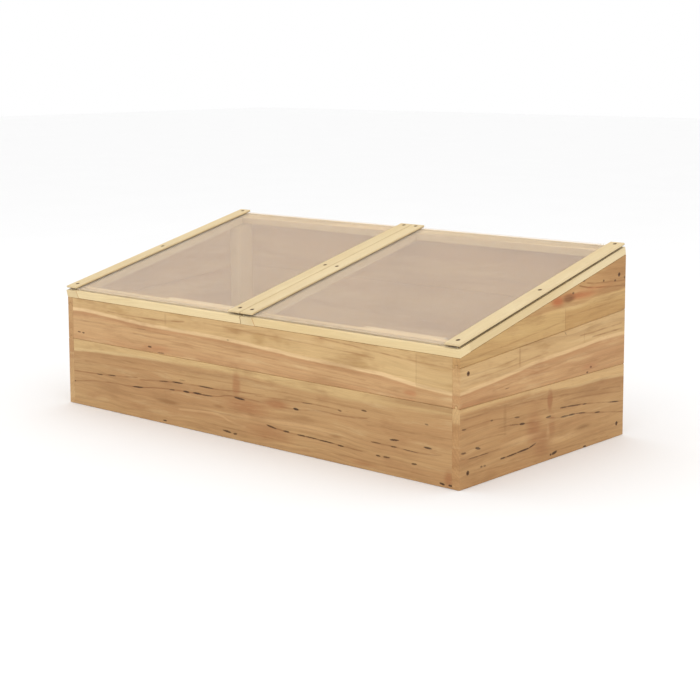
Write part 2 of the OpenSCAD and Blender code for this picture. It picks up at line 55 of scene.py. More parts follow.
# ---------------------------------------------------------------------------
# node helpers
# ---------------------------------------------------------------------------
class Mat:
    """A material being built: thin helpers round its node tree."""

    def __init__(self, name):
        self.mat = bpy.data.materials.new(name)
        self.mat.use_nodes = True
        self.nt = self.mat.node_tree
        self.nt.nodes.clear()
        self.out = self.nt.nodes.new("ShaderNodeOutputMaterial")
        self.bsdf = self.nt.nodes.new("ShaderNodeBsdfPrincipled")
        self.nt.links.new(self.bsdf.outputs[0], self.out.inputs[0])

    def put(self, sock, value):
        if isinstance(value, bpy.types.NodeSocket):
            self.nt.links.new(value, sock)
        elif value is not None:
            sock.default_value = value

    def math(self, op, a, b=None, c=None, clamp=False):
        n = self.nt.nodes.new("ShaderNodeMath")
        n.operation = op
        n.use_clamp = clamp
        self.put(n.inputs[0], a)
        if b is not None:
            self.put(n.inputs[1], b)
        if c is not None:
            self.put(n.inputs[2], c)
        return n.outputs[0]

    def add(self, a, b): return self.math("ADD", a, b)
    def sub(self, a, b): return self.math("SUBTRACT", a, b)
    def mul(self, a, b, clamp=False): return self.math("MULTIPLY", a, b, clamp=clamp)
    def maxi(self, a, b): return self.math("MAXIMUM", a, b)

    def step(self, x, lo, hi, out_lo=0.0, out_hi=1.0, smooth=True):
        n = self.nt.nodes.new("ShaderNodeMapRange")
        n.interpolation_type = "SMOOTHSTEP" if smooth else "LINEAR"
        n.clamp = True
        self.put(n.inputs["Value"], x)
        self.put(n.inputs["From Min"], lo)
        self.put(n.inputs["From Max"], hi)
        self.put(n.inputs["To Min"], out_lo)
        self.put(n.inputs["To Max"], out_hi)
        return n.outputs[0]

    def mix(self, fac, a, b, blend="MIX"):
        n = self.nt.nodes.new("ShaderNodeMix")
        n.data_type = "RGBA"
        n.blend_type = blend
        n.clamp_factor = True
        self.put(n.inputs[0], fac)
        self.put(n.inputs[6], a)
        self.put(n.inputs[7], b)
        return n.outputs[2]

    def coords(self, rot=(0, 0, 0), origin=(0, 0, 0)):
        """Object coordinates moved to origin, then turned by rot, in metres."""
        tc = self.nt.nodes.new("ShaderNodeTexCoord")
        m = self.nt.nodes.new("ShaderNodeMapping")
        m.vector_type = "TEXTURE"
        m.inputs["Location"].default_value = origin
        m.inputs["Rotation"].default_value = rot
        self.nt.links.new(tc.outputs["Object"], m.inputs["Vector"])
        return m.outputs[0]

    def split(self, v):
        n = self.nt.nodes.new("ShaderNodeSeparateXYZ")
        self.put(n.inputs[0], v)
        return n.outputs

    def join(self, x, y, z):
        n = self.nt.nodes.new("ShaderNodeCombineXYZ")
        self.put(n.inputs[0], x)
        self.put(n.inputs[1], y)
        self.put(n.inputs[2], z)
        return n.outputs[0]

    def noise(self, vec, scale=1.0, detail=2.0, rough=0.5, lac=2.0, dist=0.0, color=False):
        n = self.nt.nodes.new("ShaderNodeTexNoise")
        n.noise_dimensions = "3D"
        self.put(n.inputs["Vector"], vec)
        n.inputs["Scale"].default_value = scale
        n.inputs["Detail"].default_value = detail
        n.inputs["Roughness"].default_value = rough
        n.inputs["Lacunarity"].default_value = lac
        n.inputs["Distortion"].default_value = dist
        return n.outputs[1] if color else n.outputs[0]

    def voronoi(self, vec, scale=1.0, rand=1.0):
        n = self.nt.nodes.new("ShaderNodeTexVoronoi")
        n.feature = "F1"
        self.put(n.inputs["Vector"], vec)
        n.inputs["Scale"].default_value = scale
        n.inputs["Randomness"].default_value = rand
        return n.outputs["Distance"], n.outputs["Color"]

    def scaled(self, xyz, sx, sy, sz, ox=0.0, oy=0.0, oz=0.0):
        """The vector (x*sx+ox, y*sy+oy, z*sz+oz)."""
        return self.join(self.math("MULTIPLY_ADD", xyz[0], sx, ox),
                         self.math("MULTIPLY_ADD", xyz[1], sy, oy),
                         self.math("MULTIPLY_ADD", xyz[2], sz, oz))

    def curve(self, x, pts, lo, hi):
        """A smooth curve through pts, given as (x, value) in the same units as x. Returns its value at x."""
        n = self.nt.nodes.new("ShaderNodeFloatCurve")
        c = n.mapping.curves[0]
        n.mapping.use_clip = False
        x0, x1 = pts[0][0], pts[-1][0]
        t = self.step(x, x0, x1, smooth=False)
        self.put(n.inputs["Value"], t)
        norm = [((px - x0) / (x1 - x0), (py - lo) / (hi - lo)) for px, py in pts]
        c.points[0].location = norm[0]
        c.points[1].location = norm[-1]
        for p in norm[1:-1]:
            c.points.new(*p)
        n.mapping.update()
        return self.math("MULTIPLY_ADD", n.outputs[0], hi - lo, lo)

    def bump(self, height, strength=0.3, distance=0.0005, normal=None):
        n = self.nt.nodes.new("ShaderNodeBump")
        n.inputs["Strength"].default_value = strength
        n.inputs["Distance"].default_value = distance
        self.put(n.inputs["Height"], height)
        if normal is not None:
            self.put(n.inputs["Normal"], normal)
        return n.outputs[0]


def lin(r, g, b):
    """sRGB 0..255 to a linear RGBA colour."""
    def f(c):
        c /= 255.0
        return c / 12.92 if c <= 0.04045 else ((c + 0.055) / 1.055) ** 2.4
    return (f(r), f(g), f(b), 1.0)


# ---------------------------------------------------------------------------
# wood
# ---------------------------------------------------------------------------
def wood(name, rot=(0, 0, 0), origin=(0, 0, 0), seed=0.0, pale=(226, 190, 138), deep=(196, 150, 100),
         streak=(170, 112, 66), ring_mm=5.0, ring=0.30, flecks=0.5, pith=(-0.05, 0.03), rough=0.62,
         tone_scale=9.0, features=None, knots=0.0, patch=0.35, fibre=0.16,
         tint=(1.0, 1.0, 1.0), mottle=0.0):
    """Bare planed softwood. Local x runs along the grain, y across the face's depth, z across its width."""
    m = Mat(name)
    P = m.coords(rot, origin)
    x, y, z = m.split(P)
    # the growth layers wander slowly along the board
    warp = m.noise(m.scaled((x, y, z), 2.2, 3.0, 9.0, seed, seed * 1.7, seed * 0.6), 1.0, 2.0, 0.5)
    warp2 = m.noise(m.scaled((x, y, z), 9.0, 10.0, 45.0, seed * 2.1, 3.0, seed), 1.0, 2.0, 0.55)
    zz = m.math("MULTIPLY_ADD", m.sub(warp, 0.5), 0.050, z)
    zz = m.math("MULTIPLY_ADD", m.sub(warp2, 0.5), 0.007, zz)
    dy = m.sub(y, pith[0])
    dz = m.sub(zz, pith[1])
    d = m.math("SQRT", m.add(m.mul(dy, dy), m.mul(dz, dz)))
    ph = m.math("FRACT", m.mul(d, 1000.0 / ring_mm))
    late = m.step(ph, 0.35, 0.92)
    late = m.sub(late, m.step(ph, 0.93, 1.0))
    vary = m.noise(m.scaled((x, y, d), 1.2, 4.0, 60.0, seed, 0.0, seed), 1.0, 1.0)
    late = m.mul(late, m.step(vary, 0.35, 0.70, 0.15, 1.0))
    # slow change of tone over the board, long along the grain
    tone = m.noise(m.scaled((x, y, zz), 1.6, 6.0, tone_scale * 2.2, seed, 1.3, seed * 3.0), 1.0, 3.0, 0.55)
    tone = m.step(tone, 0.34, 0.66)
    blotch = m.noise(m.scaled((x, y, z), 14.0, 14.0, 34.0, seed, seed, 7.0), 1.0, 3.0, 0.6)
    fib = m.noise(m.scaled((x, y, zz), 14.0, 420.0, 900.0, seed, 0.0, 0.0), 1.0, 3.0, 0.65)
    fib2 = m.noise(m.scaled((x, y, zz), 5.0, 90.0, 190.0, seed * 5.0, 0.0, 0.0), 1.0, 2.0, 0.6)
    col = m.mix(tone, lin(*deep), lin(*pale))
    if features is not None:
        col = features(m, x, y, z, col)
    col = m.mix(m.mul(m.step(blotch, 0.52, 0.78), patch), col, lin(*streak))
    col = m.mix(m.mul(late, ring), col, lin(*[c * 0.80 for c in deep]))
    col = m.mix(m.mul(m.step(fib, 0.30, 0.70), fibre), col, lin(*[c * 0.70 for c in deep]), "MIX")
    col = m.mix(m.mul(m.step(fib2, 0.55, 0.75), fibre * 0.9), col, lin(*[min(255, c * 1.10) for c in pale]))
    dark = None
    if flecks > 0:
        # short dark resin flecks, gathered in loose streaks
        vd, vc = m.voronoi(m.scaled((x, y, zz), 62.0, 90.0, 520.0, seed, 0.0, seed), 1.0, 1.0)
        pick = m.split(vc)[0]
        where = m.noise(m.scaled((x, y, zz), 2.0, 5.0, 26.0, seed * 0.3, 0.0, seed * 1.9), 1.0, 1.0)
        keep = m.mul(m.step(pick, 0.90, 0.93), m.step(where, 0.52, 0.60))
        dark = m.mul(m.mul(m.step(vd, 0.42, 0.24), keep), flecks)
        vd2, vc2 = m.voronoi(m.scaled((x, y, z), 26.0, 26.0, 30.0, seed, 2.0, seed), 1.0, 1.0)
        pin = m.mul(m.step(vd2, 0.050, 0.030), m.step(m.split(vc2)[1], 0.72, 0.74))
        dark = m.maxi(dark, m.mul(pin, flecks))
        col = m.mix(m.mul(dark, 0.85), col, lin(96, 52, 26))
    if knots > 0:
        kd, kc = m.voronoi(m.scaled((x, y, z), 7.0, 9.0, 26.0, seed * 1.3, 0.0, seed * 0.7), 1.0, 1.0)
        keep = m.step(m.split(kc)[2], 1.0 - knots, 1.0 - knots + 0.02)
        col = m.mix(m.mul(m.mul(m.step(kd, 0.11, 0.03), keep), 0.7), col, lin(186, 122, 70))
    if mottle > 0:
        # uneven light and dark across the board, as planed softwood has
        mo = m.noise(m.scaled((x, y, zz), 7.0, 9.0, 60.0, seed * 1.1, 0.0, seed), 1.0, 4.0, 0.62)
        col = m.mix(m.mul(m.step(mo, 0.50, 0.72), mottle), col, lin(160, 116, 72))
        col = m.mix(m.mul(m.step(mo, 0.46, 0.26), mottle), col, lin(232, 200, 150))
    col = m.mix(1.0, col, (*tint, 1.0), "MULTIPLY")
    m.put(m.bsdf.inputs["Base Color"], col)
    r = m.step(fib, 0.2, 0.8, rough - 0.07, rough + 0.10, smooth=False)
    m.put(m.bsdf.inputs["Roughness"], r)
    m.bsdf.inputs["Specular IOR Level"].default_value = 0.28
    h = m.add(m.mul(fib, 0.6), m.mul(late, 0.35))
    h = m.add(h, m.mul(fib2, 0.5))
    if dark is not None:
        h = m.sub(h, m.mul(dark, 0.8))
    m.put(m.bsdf.inputs["Normal"], m.bump(h, 0.35, 0.00025))
    return m.mat


def line_mask(m, u, v, pts, lo, hi, half, soft, a=None, b=None):
    """1 on a curved line through pts in the (u, v) plane, with ends faded at a and b."""
    c = m.curve(u, pts, lo, hi)
    off = m.sub(v, c)
    k = m.step(m.math("ABSOLUTE", off), half + soft, half)
    a = pts[0][0] if a is None else a
    b = pts[-1][0] if b is None else b
    k = m.mul(k, m.step(u, a - 0.004, a + 0.004))
    return m.mul(k, m.step(u, b + 0.004, b - 0.004)), off


def dashed(m, u, v, pts, lo, hi, half, soft, freq, seed, cut=0.52):
    """Short dark marks strung along a line, stepping up and down a little and leaving gaps."""
    hop = m.noise(m.join(m.mul(u, 75.0), seed * 1.7, 0.0), 1.0, 2.0, 0.6)
    w = m.math("MULTIPLY_ADD", m.sub(hop, 0.5), 0.009, v)
    k, off = line_mask(m, u, w, pts, lo, hi, half, soft)
    n = m.noise(m.join(m.mul(u, freq * 2.4), seed, m.mul(v, 90.0)), 1.0, 3.0, 0.6)
    g = m.noise(m.join(m.mul(u, 16.0), seed * 0.7, 3.0), 1.0, 1.0, 0.5)
    return m.mul(m.mul(k, m.step(n, cut, cut + 0.05)), m.step(g, 0.44, 0.52))


def spot(m, u, v, cu, cv, ru, rv, soft=0.5, shape=None):
    """1 inside an ellipse, fading outwards."""
    a = m.mul(m.sub(u, cu), 1.0 / ru)
    b = m.mul(m.sub(v, cv), 1.0 / rv)
    d = m.math("SQRT", m.add(m.mul(a, a), m.mul(b, b)))
    if shape is not None:
        d = m.math("MULTIPLY_ADD", m.sub(shape, 0.5), 1.1, d)
    return m.step(d, 1.0 + soft, 1.0 - soft)


def marks(m, u, v, items):
    """Small dark resin marks: (u, v, half length, slope, half thickness) in mm, and how dark each is."""
    j = m.noise(m.join(m.mul(u, 420.0), m.mul(v, 700.0), 0.0), 1.0, 2.0, 0.6)
    w = m.math("MULTIPLY_ADD", m.sub(j, 0.5), 0.0018, v)
    total = None
    for cu, cv, hl, slope, ht, dark in items:
        du = m.sub(u, cu / 1000.0)
        a = m.mul(du, 1000.0 / hl)
        b = m.mul(m.math("MULTIPLY_ADD", du, -slope, m.sub(w, cv / 1000.0)), 760.0 / ht)
        r = m.math("MULTIPLY_ADD", a, a, m.mul(b, b))
        k = m.step(r, 1.8, 0.7, 0.0, min(1.0, dark * 1.2))
        total = k if total is None else m.maxi(total, k)
    return total


def streaks(m, u, v, lines, half=0.0005, soft=0.0016):
    """Thin brown lines along the grain, each fading in and out along its length."""
    total = None
    fade = m.noise(m.join(m.mul(u, 22.0), 4.0, m.mul(v, 60.0)), 1.0, 2.0, 0.6)
    for pts, dark in lines:
        zs = [p[1] for p in pts]
        k, _ = line_mask(m, u, v, pts, min(zs) - 0.002, max(zs) + 0.002, half, soft)
        k = m.mul(k, dark)
        total = k if total is None else m.maxi(total, k)
    return m.mul(total, m.step(fade, 0.30, 0.62, 0.25, 1.0))


BROWN = (46, 16, 5)

FRONT_LOWER = [
    (-403.7, 70.1, 8.6, 0.038, 0.75, 0.7), (-366.9, 73.0, 10.6, 0.047, 0.75, 0.8), (-212.8, 82.5, 11.8, 0.093, 0.75, 0.7),
    (-173.7, 85.2, 13.6, 0.012, 0.88, 0.9), (-94.9, 87.4, 17.8, -0.006, 0.88, 0.85), (-486.9, 46.0, 5.6, 0.059, 0.88, 0.9),
    (-288.1, 60.6, 14.3, 0.065, 1.0, 0.8), (-149.4, 71.0, 7.6, 0.0, 1.25, 1.0), (-118.3, 72.2, 11.3, 0.005, 1.12, 0.95),
    (-91.8, 72.2, 14.0, 0.024, 0.75, 0.8), (-6.1, 78.9, 12.5, -0.057, 1.25, 1.0), (-39.3, 12.1, 10.0, -0.071, 1.25, 1.0),
    (-17.9, 10.8, 4.6, 0.108, 1.12, 0.9), (-211.2, 5.8, 4.7, 0.035, 1.0, 0.8), (-189.0, 69.1, 6.8, 0.048, 0.88, 0.6),
    (-159.4, 91.8, 7.7, 0.0, 0.62, 0.5), (136.6, 80.6, 5.9, -0.056, 1.5, 1.0), (75.8, 38.8, 11.2, -0.138, 1.12, 0.95),
    (112.3, 36.2, 6.8, 0.016, 1.12, 0.95), (149.8, 35.0, 9.2, 0.0, 0.88, 0.8), (174.6, 34.8, 14.9, -0.019, 0.75, 0.75),
    (208.0, 33.6, 17.1, -0.016, 0.75, 0.85), (242.4, 31.8, 6.4, -0.026, 0.88, 0.85), (363.2, 61.9, 9.0, 0.098, 1.12, 0.95),
    (434.7, 60.3, 7.9, -0.007, 1.12, 0.9), (322.6, 50.7, 10.0, 0.011, 0.62, 0.7), (361.9, 50.0, 6.0, 0.055, 0.75, 0.8),
    (397.0, 49.0, 14.7, -0.03, 0.62, 0.6), (327.5, 28.9, 4.6, -0.036, 1.0, 0.85), (346.1, 29.4, 6.8, 0.048, 1.0, 0.85),
    (405.8, 28.2, 5.1, 0.065, 1.0, 0.8), (431.9, 99.4, 3.6, -0.091, 0.88, 0.6), (296.1, 101.8, 5.4, -0.03, 1.0, 0.7),
    (240.5, 93.7, 4.0, -0.153, 1.0, 0.5), (464.9, 5.3, 5.0, -0.11, 1.25, 0.9), (482.4, 5.3, 4.2, -0.013, 1.25, 0.9),
    (163.8, 95.0, 12.4, 0.049, 0.62, 0.5)]
FRONT_UPPER = [
    (-465.9, 149.5, 4.4, -0.05, 1.0, 0.7), (-452.8, 149.0, 3.5, 0.0, 1.0, 0.8), (-251.6, 145.1, 5.0, -0.011, 1.25, 0.85),
    (-219.4, 136.6, 8.9, 0.006, 0.88, 0.6), (-34.5, 184.1, 2.7, -0.02, 0.88, 0.4), (-275.4, 176.8, 12.1, 0.005, 0.62, 0.35)]
SIDE_LOWER = [
    (50.8, 85.9, 10.0, -0.077, 0.88, 0.7), (82.7, 83.6, 20.2, -0.09, 0.88, 0.75), (118.6, 80.2, 6.4, -0.085, 0.75, 0.7),
    (216.2, 67.8, 16.3, -0.108, 0.75, 0.8), (4.2, 77.3, 7.2, 0.031, 1.12, 0.9), (54.5, 69.0, 11.2, -0.039, 1.12, 0.9),
    (76.2, 68.2, 10.1, -0.038, 1.12, 0.95), (105.0, 66.2, 14.1, -0.129, 0.75, 0.7), (160.6, 57.8, 7.9, -0.062, 0.88, 0.8),
    (-75.2, 79.2, 6.9, -0.087, 1.38, 1.0), (-99.2, 81.8, 12.5, -0.132, 0.62, 0.5), (-90.2, 93.2, 6.9, -0.128, 1.0, 0.6),
    (-162.5, 100.9, 3.3, -0.067, 1.0, 0.6), (-238.5, 99.1, 5.3, -0.063, 1.0, 0.6), (-200.4, 61.0, 6.4, -0.239, 1.38, 0.95),
    (-239.1, 60.0, 6.3, -0.078, 1.12, 0.7), (-211.9, 48.0, 12.8, -0.004, 0.62, 0.55), (-183.6, 47.8, 11.9, -0.018, 0.62, 0.6),
    (-130.2, 30.6, 6.7, 0.0, 1.0, 0.8), (-104.5, 31.0, 14.7, 0.03, 0.88, 0.85), (-71.1, 32.4, 17.4, 0.035, 1.12, 0.9),
    (-43.6, 35.5, 10.6, 0.24, 0.88, 0.85), (23.5, 9.5, 7.3, 0.15, 1.88, 1.0), (12.0, 8.4, 2.4, 0.023, 1.38, 0.8),
    (120.6, 2.2, 4.6, -0.071, 1.25, 0.8), (-190.2, 27.9, 3.0, -0.036, 1.12, 0.7), (-181.4, 27.8, 3.2, -0.051, 1.0, 0.7)]
SIDE_UPPER = [
    (110.8, 304.8, 3.0, 0.018, 1.5, 0.9), (174.9, 297.3, 2.6, 0.0, 1.38, 0.7), (213.8, 293.6, 2.7, 0.061, 1.38, 0.8),
    (246.1, 296.1, 2.1, 0.026, 1.5, 0.8), (76.1, 286.1, 3.0, 0.019, 1.38, 0.8)]
SIDE_MIDDLE = [
    (137.0, 145.0, 3.6, -0.03, 1.38, 0.8), (125.6, 137.0, 3.1, -0.018, 1.12, 0.7), (54.1, 217.1, 2.5, -0.891, 1.12, 0.4),
    (-120.0, 148.0, 6.0, 0.05, 0.6, 0.5)]


def front_upper_features(m, x, y, z, col):
    pts = [(-0.497, 0.1945), (-0.443, 0.1955), (-0.368, 0.1920), (-0.320, 0.1895), (-0.267, 0.1868), (-0.185, 0.1866),
           (-0.082, 0.1856), (0.001, 0.1837), (0.061, 0.1802), (0.180, 0.1750), (0.253, 0.1733), (0.332, 0.1705),
           (0.367, 0.1670), (0.399, 0.1632), (0.439, 0.1602), (0.495, 0.1582)]
    wob = m.noise(m.scaled((x, y, z), 16.0, 4.0, 30.0, 1.0, 0.0, 0.0), 1.0, 2.0)
    v = m.math("MULTIPLY_ADD", m.sub(wob, 0.5), 0.003, z)
    k, off = line_mask(m, x, v, pts, 0.14, 0.20, 0.0018, 0.0030, -0.6, 0.6)
    above = m.step(off, 0.000, 0.003)
    col = m.mix(m.mul(above, 0.60), col, lin(228, 192, 136))
    col = m.mix(m.mul(m.sub(1.0, above), 0.62), col, lin(214, 164, 116))
    # the colour deepens just below the ridge, and again towards the seam
    shade = m.mul(m.step(off, -0.016, -0.004), m.step(off, -0.001, -0.004))
    col = m.mix(m.mul(shade, 0.55), col, lin(196, 142, 96))
    low = m.mul(m.step(z, 0.148, 0.137), m.step(x, 0.0, 0.25, 0.15, 0.55))
    col = m.mix(low, col, lin(196, 144, 98))
    col = m.mix(m.mul(k, 0.90), col, lin(247, 210, 158))
    # olive-brown clouds in the upper part
    cloud = m.noise(m.scaled((x, y, z), 9.0, 4.0, 42.0, 3.0, 0.0, 2.0), 1.0, 3.0, 0.6)
    col = m.mix(m.mul(m.mul(m.step(cloud, 0.50, 0.68), above), 0.55), col, lin(186, 144, 88))
    st = streaks(m, x, v, [([(-0.377, 0.2014), (-0.314, 0.1990), (-0.22, 0.2008), (-0.152, 0.2054)], 0.6),
                           ([(-0.10, 0.2090), (0.05, 0.2050), (0.20, 0.2010), (0.32, 0.1960)], 0.35),
                           ([(-0.49, 0.172), (-0.30, 0.176), (-0.10, 0.171), (0.10, 0.163), (0.30, 0.155)], 0.35),
                           ([(-0.30, 0.166), (-0.10, 0.160), (0.15, 0.152), (0.40, 0.145)], 0.30),
                           ([(0.193, 0.2155), (0.30, 0.2085), (0.40, 0.2025), (0.484, 0.1985)], 0.55)])
    col = m.mix(st, col, lin(150, 98, 54))
    r = spot(m, x, z, 0.397, 0.1475, 0.014, 0.004, 0.7, wob)
    r = m.maxi(r, m.mul(spot(m, x, z, -0.235, 0.145, 0.030, 0.006, 0.8, wob), 0.7))
    col = m.mix(m.mul(r, 0.50), col, lin(188, 112, 68))
    col = m.mix(m.mul(marks(m, x, z, FRONT_UPPER), 0.85), col, lin(*BROWN))
    # finger joints: the grain changes tone on each side of them
    col = m.mix(m.mul(m.step(x, 0.409, 0.4092), 0.30), col, lin(204, 166, 114))
    f, _ = line_mask(m, z, x, [(0.150, 0.409), (0.185, 0.4095), (0.22, 0.4092)], 0.40, 0.42, 0.0003, 0.0005, 0.165, 0.214)
    g, _ = line_mask(m, z, x, [(0.185, -0.205), (0.2, -0.2052), (0.218, -0.205)], -0.21, -0.20, 0.0010, 0.0030, 0.192, 0.214)
    return m.mix(m.mul(m.maxi(f, m.mul(g, 0.45)), 0.45), col, lin(150, 104, 62))


def front_lower_features(m, x, y, z, col):
    wob = m.noise(m.scaled((x, y, z), 14.0, 4.0, 36.0, 5.0, 0.0, 2.0), 1.0, 2.0)
    v = m.math("MULTIPLY_ADD", m.sub(wob, 0.5), 0.003, z)
    # pale sapwood band along the top edge
    band = [(-0.495, 0.111), (-0.41, 0.116), (-0.34, 0.1185), (-0.277, 0.121), (-0.187, 0.1225), (-0.08, 0.124), (0.03, 0.1235),
            (0.098, 0.120), (0.16, 0.118), (0.24, 0.1165), (0.31, 0.1175), (0.39, 0.1185), (0.495, 0.122)]
    k, off = line_mask(m, x, v, band, 0.09, 0.13, 0.0010, 0.0035, -0.6, 0.6)
    above = m.step(off, -0.004, 0.003)
    # the band is broad and bright at the left and fades out towards the right end
    keep = m.step(x, 0.48, 0.10, 0.25, 1.0)
    col = m.mix(m.mul(m.mul(above, 0.80), keep), col, lin(240, 204, 146))
    col = m.mix(m.mul(m.sub(1.0, above), 0.50), col, lin(210, 162, 112))
    col = m.mix(m.mul(m.mul(k, m.step(x, -0.1, -0.35)), 0.7), col, lin(246, 214, 158))
    dusk = m.mul(m.step(off, -0.020, -0.004), m.step(off, -0.002, -0.006))
    col = m.mix(m.mul(dusk, 0.35), col, lin(192, 146, 98))
    # under the seam's right half the edge is darker
    edge = m.mul(m.step(z, 0.1235, 0.1275), m.step(x, 0.28, 0.40))
    col = m.mix(m.mul(edge, 0.40), col, lin(168, 116, 72))
    st = streaks(m, x, v, [
        ([(-0.49, 0.0672), (-0.411, 0.0703), (-0.357, 0.0739), (-0.289, 0.0789)], 0.60),
        ([(-0.282, 0.0754), (-0.224, 0.0815), (-0.16, 0.0855), (-0.118, 0.0873), (-0.079, 0.0873), (-0.017, 0.0909), (0.06, 0.095)], 0.60),
        ([(-0.49, 0.0456), (-0.373, 0.0578), (-0.301, 0.0598), (-0.202, 0.0693), (-0.149, 0.0708), (-0.079, 0.0725), (-0.017, 0.081), (0.06, 0.080)], 0.60),
        ([(0.035, 0.0913), (0.128, 0.0936), (0.175, 0.0956), (0.244, 0.0942)], 0.45),
        ([(0.097, 0.0788), (0.142, 0.0803), (0.194, 0.0855), (0.247, 0.0858), (0.304, 0.0892)], 0.50),
        ([(0.066, 0.0402), (0.086, 0.0374), (0.141, 0.035), (0.224, 0.0334), (0.248, 0.0316), (0.292, 0.0307)], 0.60),
        ([(0.314, 0.0506), (0.359, 0.050), (0.41, 0.0486), (0.465, 0.0538)], 0.50),
        ([(-0.45, 0.092), (-0.30, 0.096), (-0.10, 0.103), (0.10, 0.106), (0.30, 0.102)], 0.30),
        ([(-0.40, 0.105), (-0.20, 0.110), (0.02, 0.114)], 0.22),
        ([(0.30, 0.078), (0.40, 0.080), (0.49, 0.083)], 0.30),
        ([(-0.10, 0.020), (0.10, 0.017), (0.30, 0.015), (0.45, 0.012)], 0.35)])
    col = m.mix(st, col, lin(146, 92, 50))
    # a reddish band across the board, and warm clouds beside it
    red = m.mul(spot(m, x, z, -0.014, 0.104, 0.0105, 0.020, 0.45, wob), 1.0)
    red = m.maxi(red, m.mul(spot(m, x, z, 0.018, 0.066, 0.045, 0.013, 0.7, wob), 1.0))
    red = m.maxi(red, m.mul(spot(m, x, z, 0.085, 0.083, 0.026, 0.007, 0.7, wob), 1.2))
    red = m.maxi(red, m.mul(spot(m, x, z, 0.060, 0.028, 0.050, 0.012, 0.8, wob), 0.7))
    red = m.maxi(red, m.mul(spot(m, x, z, 0.296, 0.010, 0.024, 0.004, 0.8, wob), 0.8))
    red = m.maxi(red, m.mul(spot(m, x, z, 0.478, 0.016, 0.008, 0.013, 0.7, wob), 1.2))
    col = m.mix(m.mul(red, 0.52), col, lin(178, 112, 68))
    olive = m.mul(spot(m, x, z, -0.200, 0.044, 0.030, 0.0035, 0.6, wob), 1.0)
    olive = m.maxi(olive, m.mul(spot(m, x, z, -0.061, 0.056, 0.012, 0.0025, 0.7, wob), 0.8))
    olive = m.maxi(olive, m.mul(spot(m, x, z, 0.230, 0.047, 0.013, 0.0035, 0.7, wob), 0.8))
    olive = m.maxi(olive, m.mul(spot(m, x, z, -0.37, 0.045, 0.03, 0.006, 1.0, wob), 0.35))
    col = m.mix(m.mul(olive, 0.65), col, lin(152, 102, 56))
    pale = m.mul(spot(m, x, z, 0.135, 0.051, 0.075, 0.0055, 0.8, wob), 1.0)
    sw, _ = line_mask(m, x, v, [(-0.171, 0.0345), (-0.12, 0.0385), (-0.0646, 0.0403), (-0.028, 0.0317), (0.01, 0.028)], 0.02, 0.05, 0.0010, 0.0022)
    pale = m.maxi(pale, m.mul(sw, 0.9))
    pale = m.maxi(pale, m.mul(spot(m, x, z, 0.008, 0.048, 0.012, 0.006, 0.9, wob), 0.7))
    col = m.mix(m.mul(pale, 0.50), col, lin(238, 194, 142))
    col = m.mix(m.mul(marks(m, x, z, FRONT_LOWER), 0.92), col, lin(*BROWN))
    f, _ = line_mask(m, z, x, [(0.0, -0.208), (0.06, -0.2078), (0.134, -0.2082)], -0.22, -0.19, 0.0002, 0.0004, 0.03, 0.12)
    return m.mix(m.mul(f, 0.18), col, lin(150, 104, 62))


def corner_end(m, x, z, col, patch):
    """The side boards' end grain on the front face: plainer and a little duller, with a pale slanted patch."""
    end = m.step(x, -0.2488, -0.2494)
    col = m.mix(m.mul(end, 0.50), col, lin(212, 166, 116))
    if patch:
        k = m.mul(m.step(z, 0.106, 0.113), m.mul(end, 0.50))
        col = m.mix(k, col, lin(244, 212, 158))
    return col


